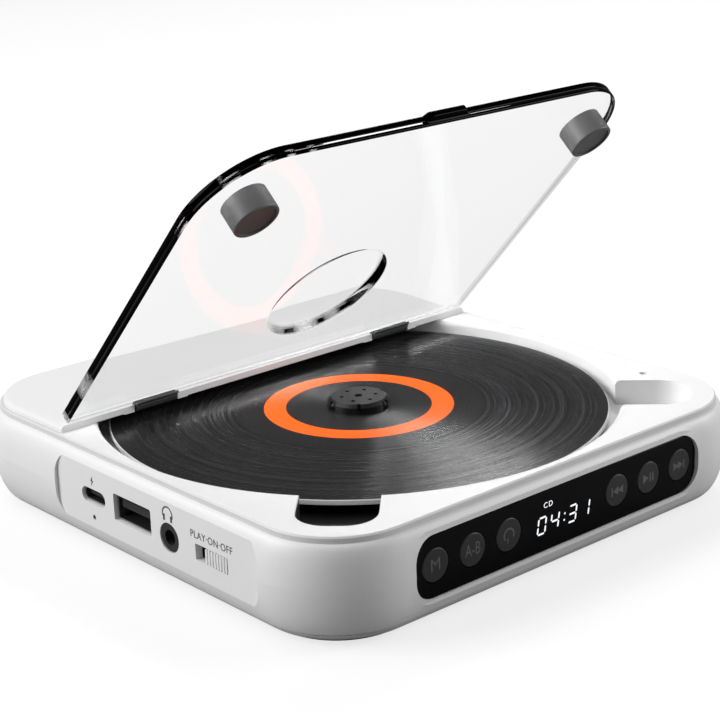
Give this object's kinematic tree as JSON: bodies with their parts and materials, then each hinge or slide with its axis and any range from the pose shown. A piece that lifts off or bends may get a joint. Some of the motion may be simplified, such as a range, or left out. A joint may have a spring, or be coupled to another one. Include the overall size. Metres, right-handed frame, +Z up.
{
  "type": "portable compact disc player",
  "caption": "Flat rounded-square portable disc player with a clear flip-up lid, a disc on its hub, a glossy front display bar with round buttons, and ports on the left side.",
  "frame": {"origin": "centre of the footprint, on the table under the feet", "axes": "+Z up, +X to the right along the display face, +Y to the back; the lid stands open"},
  "size_m": [0.1368, 0.14, 0.0984],
  "materials": {
    "white_plastic": "fine satin",
    "white_trim": "ribbed satin",
    "clear_lid": "clear polished",
    "hinge_plastic": "fine ribs",
    "cup_plastic": "satin",
    "magnet": "nickel plated",
    "steel": "bright turned",
    "motor_can": "plated",
    "window_plastic": "high gloss",
    "button_plastic": "satin gloss",
    "display_plastic": "matte",
    "foot_rubber": "matte",
    "damper_rubber": "matte",
    "disc_plastic": "grooved gloss",
    "hub_plastic": "satin",
    "black_plastic": "moulded",
    "board": "solder mask",
    "chip": "moulded",
    "socket_shell": "stamped",
    "lens": "polished",
    "light_pipe": "polished",
    "gear_plastic": "moulded",
    "battery_wrap": "foil wrap"
  },
  "bodies": {
    "housing": {"body_shell": "white_plastic", "bottom_cover": "white_plastic", "corner_feet": "foot_rubber", "top_deck": "white_plastic", "rear_cover": "white_plastic", "hinge_pins": "steel", "display_window": "window_plastic", "tact_switches": "black_plastic", "button_board": "board", "display_module": "display_plastic", "main_board": "board", "board_chips": "chip", "usb_c_socket": "socket_shell", "usb_c_tongue": "black_plastic", "usb_a_socket": "socket_shell", "usb_a_tongue": "black_plastic", "headphone_jack": "black_plastic", "switch_body": "black_plastic", "charge_indicator": "light_pipe", "battery": "battery_wrap", "strike_plates": "steel", "lid_sensor": "black_plastic", "spindle_motor": "motor_can", "mechanism_chassis": "black_plastic", "guide_rails": "steel", "rubber_dampers": "damper_rubber", "damper_screws": "steel", "board_screws": "steel", "bottom_screws": "steel", "gear_pin": "steel", "sled_motor": "motor_can"},
    "lid_assembly": {"lid": "clear_lid", "left_hinge_knuckle": "hinge_plastic", "right_hinge_knuckle": "hinge_plastic", "left_magnet_cup": "cup_plastic", "right_magnet_cup": "cup_plastic", "left_magnet": "magnet", "right_magnet": "magnet"},
    "spinning_hub": {"turntable": "hub_plastic", "hub_catches": "steel", "spindle_shaft": "steel", "disc": "disc_plastic"},
    "power_slider": {"switch_knob": "white_trim"},
    "sled": {"pickup_sled": "black_plastic", "sled_rack": "gear_plastic"},
    "focus_lens": {"lens_holder": "black_plastic", "objective_lens": "lens"},
    "feed_gear": {"drive_gear": "gear_plastic"},
    "feed_pinion": {"motor_pinion": "gear_plastic", "sled_motor_shaft": "steel"},
    "mode_key": {"mode_button": "button_plastic"},
    "a_b_key": {"a_b_button": "button_plastic"},
    "repeat_key": {"repeat_button": "button_plastic"},
    "previous_key": {"previous_button": "button_plastic"},
    "play_pause_key": {"play_pause_button": "button_plastic"},
    "next_key": {"next_button": "button_plastic"}
  },
  "joints": [
    {"name": "lid_hinge", "type": "hinge", "parent": "housing", "child": "lid_assembly", "pos_m": [0, 0.0292, 0.0251], "axis": [-1, 0, 0], "range_deg": [-47.4, 30]},
    {"name": "disc_spin", "type": "hinge", "parent": "housing", "child": "spinning_hub", "pos_m": [0, -0.002, 0.0215], "axis": [0, 0, 1], "continuous": true},
    {"name": "power_slide", "type": "slide", "parent": "housing", "child": "power_slider", "axis": [0, 1, 0], "range_m": [0, 0.0035]},
    {"name": "sled_travel", "type": "slide", "parent": "housing", "child": "sled", "axis": [1, 0, 0], "range_m": [0, 0.032]},
    {"name": "focus_travel", "type": "slide", "parent": "sled", "child": "focus_lens", "axis": [0, 0, 1], "range_m": [-0.0004, 0.0004], "stiffness_N_per_m": 40},
    {"name": "feed_gear_spin", "type": "hinge", "parent": "housing", "child": "feed_gear", "pos_m": [0.03, -0.021, 0.01], "axis": [0, 0, 1], "range_deg": [-620, 10]},
    {"name": "feed_pinion_spin", "type": "hinge", "parent": "housing", "child": "feed_pinion", "pos_m": [0.02425, -0.03096, 0.008], "axis": [0, 0, 1], "range_deg": [-30, 2230]},
    {"name": "mode_press", "type": "slide", "parent": "housing", "child": "mode_key", "axis": [0, 1, 0], "range_m": [0, 0.00035], "stiffness_N_per_m": 3000},
    {"name": "a_b_press", "type": "slide", "parent": "housing", "child": "a_b_key", "axis": [0, 1, 0], "range_m": [0, 0.00035], "stiffness_N_per_m": 3000},
    {"name": "repeat_press", "type": "slide", "parent": "housing", "child": "repeat_key", "axis": [0, 1, 0], "range_m": [0, 0.00035], "stiffness_N_per_m": 3000},
    {"name": "previous_press", "type": "slide", "parent": "housing", "child": "previous_key", "axis": [0, 1, 0], "range_m": [0, 0.00035], "stiffness_N_per_m": 3000},
    {"name": "play_pause_press", "type": "slide", "parent": "housing", "child": "play_pause_key", "axis": [0, 1, 0], "range_m": [0, 0.00035], "stiffness_N_per_m": 3000},
    {"name": "next_press", "type": "slide", "parent": "housing", "child": "next_key", "axis": [0, 1, 0], "range_m": [0, 0.00035], "stiffness_N_per_m": 3000}
  ],
  "couplings": [
    {"joint": "feed_gear_spin", "follows": "sled_travel", "rad_per_m": -333.33},
    {"joint": "feed_pinion_spin", "follows": "sled_travel", "rad_per_m": 1200}
  ]
}
